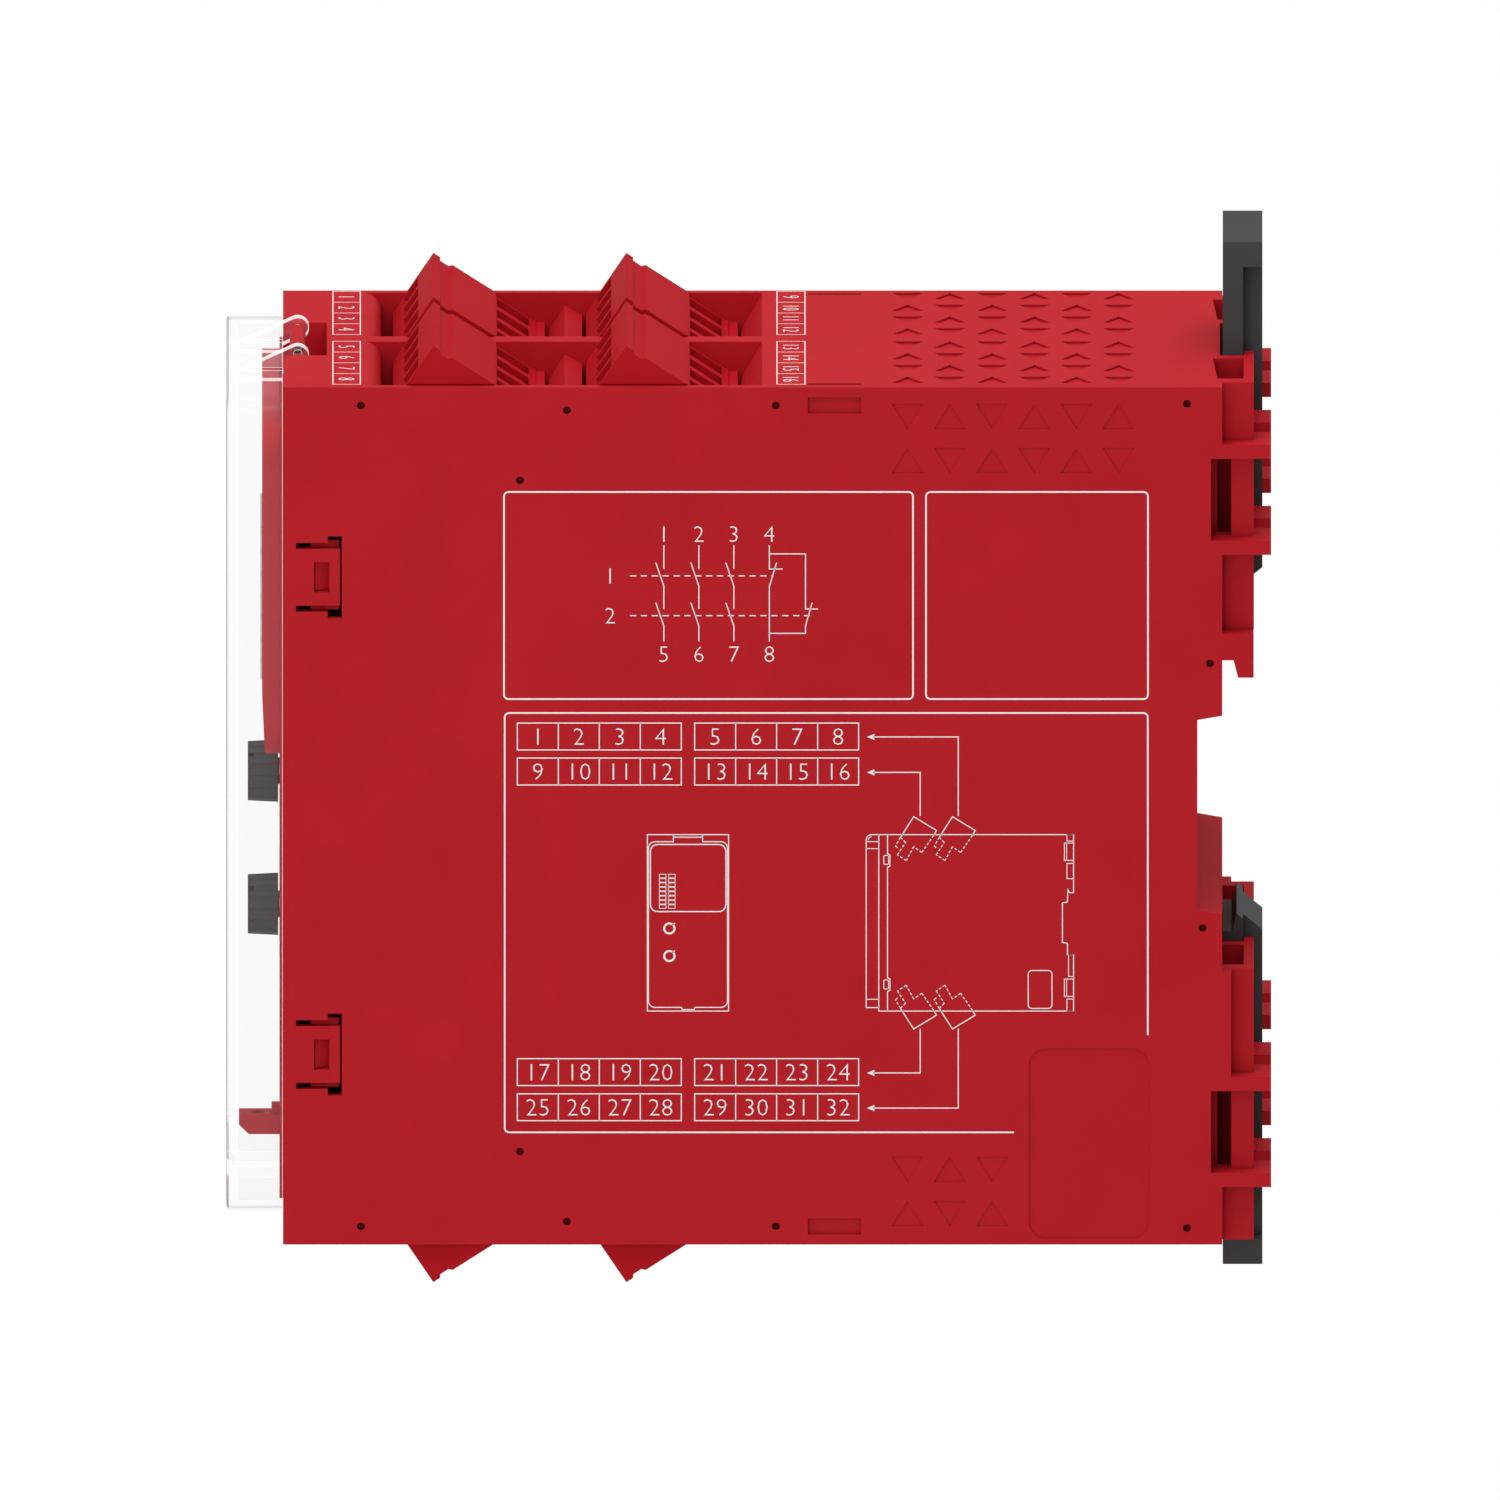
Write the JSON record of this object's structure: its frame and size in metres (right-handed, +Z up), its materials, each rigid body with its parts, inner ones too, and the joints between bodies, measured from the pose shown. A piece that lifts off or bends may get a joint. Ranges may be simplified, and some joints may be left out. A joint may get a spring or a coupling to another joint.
{
  "type": "safety relay",
  "caption": "Rail-mounted safety relay: red housing, clear hinged cover, selectors, angled plug-in terminals and sliding feet.",
  "frame": {"origin": "centre of the rail seat: on the housing's rear face, mid width, at the rail's centre height", "axes": "+X across the width to the relay's right side as seen from its front, +Y out of the back to the rail, +Z up"},
  "size_m": [0.045, 0.1173, 0.1182],
  "materials": {
    "housing_red": "fine satin moulding",
    "plug_red": "fine satin moulding",
    "header_red": "satin moulding",
    "clear_plastic": "clear polished",
    "lens_white": "milky gloss",
    "dark_grey": "satin moulding",
    "black_plastic": "satin moulding",
    "relay_grey": "satin moulding",
    "board_green": "solder mask",
    "clamp_steel": "plated",
    "core_steel": "varnished",
    "capacitor_can": "sleeved can",
    "pin_brass": "tinned"
  },
  "bodies": {
    "housing": {"housing_body": "housing_red", "side_cover": "housing_red", "front_panel": "housing_red", "light_guide_left": "lens_white", "light_guide_right": "lens_white", "mode_switch": "black_plastic", "start_switch": "black_plastic", "front_board": "board_green", "transformer": "core_steel", "capacitor_upper": "capacitor_can", "capacitor_lower": "capacitor_can", "supply_fuse": "core_steel", "bus_connector": "black_plastic", "top_front_left_plug": "plug_red", "top_front_left_clamps": "clamp_steel", "top_rear_left_plug": "plug_red", "top_rear_left_clamps": "clamp_steel", "top_left_header": "header_red", "top_left_pins": "pin_brass", "top_front_right_plug": "plug_red", "top_front_right_clamps": "clamp_steel", "top_rear_right_plug": "plug_red", "top_rear_right_clamps": "clamp_steel", "top_right_header": "header_red", "top_right_pins": "pin_brass", "bottom_front_left_plug": "plug_red", "bottom_front_left_clamps": "clamp_steel", "bottom_rear_left_plug": "plug_red", "bottom_rear_left_clamps": "clamp_steel", "bottom_left_header": "header_red", "bottom_left_pins": "pin_brass", "bottom_front_right_plug": "plug_red", "bottom_front_right_clamps": "clamp_steel", "bottom_rear_right_plug": "plug_red", "bottom_rear_right_clamps": "clamp_steel", "bottom_right_header": "header_red", "bottom_right_pins": "pin_brass", "left_board": "board_green", "left_board_connector": "black_plastic", "left_controller": "black_plastic", "left_relay_upper": "relay_grey", "left_relay_lower": "relay_grey", "right_board": "board_green", "right_board_connector": "black_plastic", "right_controller": "black_plastic", "right_relay_upper": "relay_grey", "right_relay_lower": "relay_grey"},
    "cover": {"clear_cover": "clear_plastic"},
    "upper_foot": {"upper_foot": "dark_grey"},
    "lower_foot": {"lower_foot": "dark_grey"},
    "mode_knob": {"mode_knob": "dark_grey"},
    "start_knob": {"start_knob": "dark_grey"}
  },
  "joints": [
    {"name": "cover_hinge", "type": "hinge", "parent": "housing", "child": "cover", "pos_m": [0, -0.10375, 0.04881], "axis": [-1, 0, 0], "range_deg": [0, 110]},
    {"name": "upper_foot_slide", "type": "slide", "parent": "housing", "child": "upper_foot", "axis": [0, 0, 1], "range_m": [-0.006, 0]},
    {"name": "lower_foot_slide", "type": "slide", "parent": "housing", "child": "lower_foot", "axis": [0, 0, 1], "range_m": [-0.006, 0]},
    {"name": "mode_knob_turn", "type": "hinge", "parent": "housing", "child": "mode_knob", "pos_m": [-0.0106, -0.108, -0.0035], "axis": [0, 1, 0], "range_deg": [-150, 150]},
    {"name": "start_knob_turn", "type": "hinge", "parent": "housing", "child": "start_knob", "pos_m": [-0.0106, -0.108, -0.0189], "axis": [0, 1, 0], "range_deg": [-150, 150]}
  ]
}
